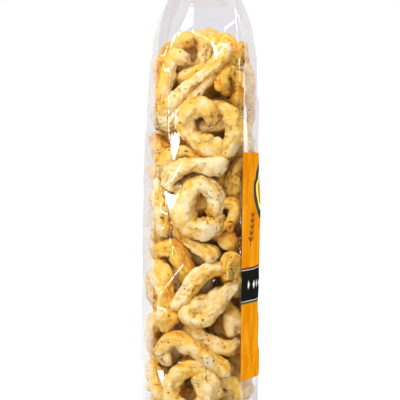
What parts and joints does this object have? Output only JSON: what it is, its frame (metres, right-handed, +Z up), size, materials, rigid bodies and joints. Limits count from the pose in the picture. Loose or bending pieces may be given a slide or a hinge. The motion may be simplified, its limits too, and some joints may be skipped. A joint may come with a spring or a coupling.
{
  "type": "bag of taralli",
  "caption": "Tall clear gusseted bag of small baked dough rings, closed by a flat seal under a gable top, with an orange label over its front panel. It stands on its flat bottom.",
  "frame": {"origin": "middle of the flat bottom that the bag stands on", "axes": "+Z up to the seal, +X out of the front panel with the label, -Y out of the narrow side that the picture shows"},
  "size_m": [0.0847, 0.0878, 0.334],
  "materials": {
    "crust": "baked crust, golden with pale and brown patches and small dark specks",
    "film": "clear crisp film with sharp folds",
    "label_paper": "glossy printed paper"
  },
  "bodies": {
    "root": {"bag": "crust", "label": "label_paper"}
  },
  "joints": []
}
